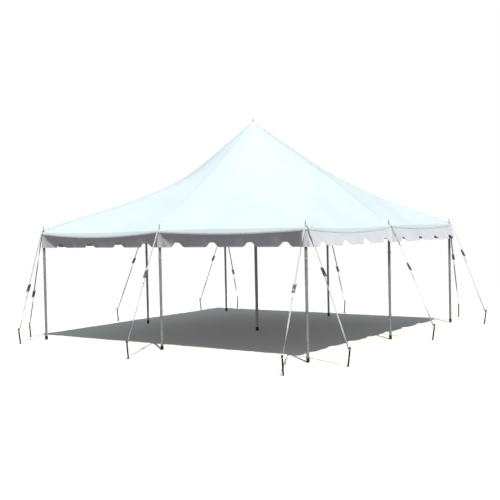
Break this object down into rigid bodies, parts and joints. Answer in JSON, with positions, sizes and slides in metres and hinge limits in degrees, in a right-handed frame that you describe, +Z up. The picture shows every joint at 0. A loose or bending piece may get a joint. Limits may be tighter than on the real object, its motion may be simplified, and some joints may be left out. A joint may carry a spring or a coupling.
{
  "type": "pole tent",
  "caption": "Square pole tent: a peaked white vinyl top with a scalloped valance on a centre pole and side poles, held out by ratchet guys to stakes.",
  "frame": {"origin": "centre of the centre pole's foot, on the ground", "axes": "+Z up along the centre pole, -Y towards the front side, +X towards the right side"},
  "size_m": [7.8535, 8.2911, 4.365],
  "materials": {
    "roof_vinyl": "satin coated vinyl",
    "valance_vinyl": "satin coated vinyl",
    "pole_steel": "galvanised",
    "webbing": "woven polyester",
    "ratchet_zinc": "zinc plated",
    "stake_iron": "black forged"
  },
  "bodies": {
    "tent": {"roof_front": "roof_vinyl", "roof_right": "roof_vinyl", "roof_back": "roof_vinyl", "roof_left": "roof_vinyl", "valance_front": "valance_vinyl", "valance_right": "valance_vinyl", "valance_back": "valance_vinyl", "valance_left": "valance_vinyl", "pole_centre": "pole_steel", "pole_front_left": "pole_steel", "pole_front_middle": "pole_steel", "pole_front_right": "pole_steel", "pole_right_middle": "pole_steel", "pole_back_right": "pole_steel", "pole_back_middle": "pole_steel", "pole_back_left": "pole_steel", "pole_left_middle": "pole_steel", "guy_front_left_to_front": "webbing", "guy_front_left_to_left": "webbing", "guy_front_middle": "webbing", "guy_front_right_to_front": "webbing", "guy_front_right_to_right": "webbing", "guy_right_middle": "webbing", "guy_back_right_to_right": "webbing", "guy_back_right_to_back": "webbing", "guy_back_middle": "webbing", "guy_back_left_to_back": "webbing", "guy_back_left_to_left": "webbing", "guy_left_middle": "webbing", "stake_front_left_to_front": "stake_iron", "stake_front_left_to_left": "stake_iron", "stake_front_middle": "stake_iron", "stake_front_right_to_front": "stake_iron", "stake_front_right_to_right": "stake_iron", "stake_right_middle": "stake_iron", "stake_back_right_to_right": "stake_iron", "stake_back_right_to_back": "stake_iron", "stake_back_middle": "stake_iron", "stake_back_left_to_back": "stake_iron", "stake_back_left_to_left": "stake_iron", "stake_left_middle": "stake_iron"},
    "handle_front_left_to_front": {"handle_front_left_to_front": "ratchet_zinc"},
    "handle_front_left_to_left": {"handle_front_left_to_left": "ratchet_zinc"},
    "handle_front_middle": {"handle_front_middle": "ratchet_zinc"},
    "handle_front_right_to_front": {"handle_front_right_to_front": "ratchet_zinc"},
    "handle_front_right_to_right": {"handle_front_right_to_right": "ratchet_zinc"},
    "handle_right_middle": {"handle_right_middle": "ratchet_zinc"},
    "handle_back_right_to_right": {"handle_back_right_to_right": "ratchet_zinc"},
    "handle_back_right_to_back": {"handle_back_right_to_back": "ratchet_zinc"},
    "handle_back_middle": {"handle_back_middle": "ratchet_zinc"},
    "handle_back_left_to_back": {"handle_back_left_to_back": "ratchet_zinc"},
    "handle_back_left_to_left": {"handle_back_left_to_left": "ratchet_zinc"},
    "handle_left_middle": {"handle_left_middle": "ratchet_zinc"}
  },
  "joints": [
    {"name": "swing_front_left_to_front", "type": "hinge", "parent": "tent", "child": "handle_front_left_to_front", "pos_m": [-2.97629, -3.40308, 1.11176], "axis": [-0.9983, -0.0587, 0], "range_deg": [0, 160]},
    {"name": "swing_front_left_to_left", "type": "hinge", "parent": "tent", "child": "handle_front_left_to_left", "pos_m": [-3.39777, -2.93142, 0.94638], "axis": [0.1699, 0.9855, 0], "range_deg": [0, 160]},
    {"name": "swing_front_middle", "type": "hinge", "parent": "tent", "child": "handle_front_middle", "pos_m": [0.07359, -3.43339, 1.42665], "axis": [-0.9859, -0.1674, 0], "range_deg": [0, 160]},
    {"name": "swing_front_right_to_front", "type": "hinge", "parent": "tent", "child": "handle_front_right_to_front", "pos_m": [3.13788, -3.57121, 1.25994], "axis": [-0.9721, -0.2346, 0], "range_deg": [0, 160]},
    {"name": "swing_front_right_to_right", "type": "hinge", "parent": "tent", "child": "handle_front_right_to_right", "pos_m": [3.29427, -3.02386, 1.4846], "axis": [-0.0808, -0.9967, 0], "range_deg": [0, 160]},
    {"name": "swing_right_middle", "type": "hinge", "parent": "tent", "child": "handle_right_middle", "pos_m": [3.32092, 0.09541, 1.40813], "axis": [0.285, -0.9585, 0], "range_deg": [0, 160]},
    {"name": "swing_back_right_to_right", "type": "hinge", "parent": "tent", "child": "handle_back_right_to_right", "pos_m": [3.26617, 3.00719, 1.55883], "axis": [0.027, -0.9996, 0], "range_deg": [0, 160]},
    {"name": "swing_back_right_to_back", "type": "hinge", "parent": "tent", "child": "handle_back_right_to_back", "pos_m": [2.91989, 3.40854, 1.44517], "axis": [0.9813, 0.1924, 0], "range_deg": [0, 160]},
    {"name": "swing_back_middle", "type": "hinge", "parent": "tent", "child": "handle_back_middle", "pos_m": [0, 3.44223, 1.14881], "axis": [1, 0, 0], "range_deg": [0, 160]},
    {"name": "swing_back_left_to_back", "type": "hinge", "parent": "tent", "child": "handle_back_left_to_back", "pos_m": [-3.13677, 3.49733, 1.03767], "axis": [0.9642, 0.2652, 0], "range_deg": [0, 160]},
    {"name": "swing_back_left_to_left", "type": "hinge", "parent": "tent", "child": "handle_back_left_to_left", "pos_m": [-3.35304, 3, 1.41036], "axis": [0, 1, 0], "range_deg": [0, 160]},
    {"name": "swing_left_middle", "type": "hinge", "parent": "tent", "child": "handle_left_middle", "pos_m": [-3.38268, 0.03061, 1.48222], "axis": [0.0797, 0.9968, 0], "range_deg": [0, 160]}
  ]
}
